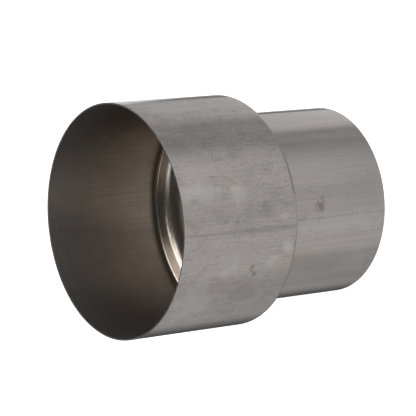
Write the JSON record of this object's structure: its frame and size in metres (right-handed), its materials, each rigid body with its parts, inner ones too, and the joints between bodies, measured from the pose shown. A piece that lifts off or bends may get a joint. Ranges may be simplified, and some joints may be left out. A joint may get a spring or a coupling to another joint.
{
  "type": "exhaust reducer tube",
  "caption": "Thin-walled stainless steel exhaust reducer tube: a large plain socket necked down by a stepped shoulder to a smaller plain spigot.",
  "frame": {"origin": "centre of the small end's cut edge, which the tube stands on", "axes": "+Z along the tube's axis from the small end to the large end's mouth; -Y through the lengthwise weld seam"},
  "size_m": [0.1216, 0.1216, 0.14],
  "materials": {
    "stainless_tube": "satin mill finish with fine lengthwise draw marks, light brown heat and handling stains inside and out"
  },
  "bodies": {
    "root": {"reducer_tube": "stainless_tube"}
  },
  "joints": []
}
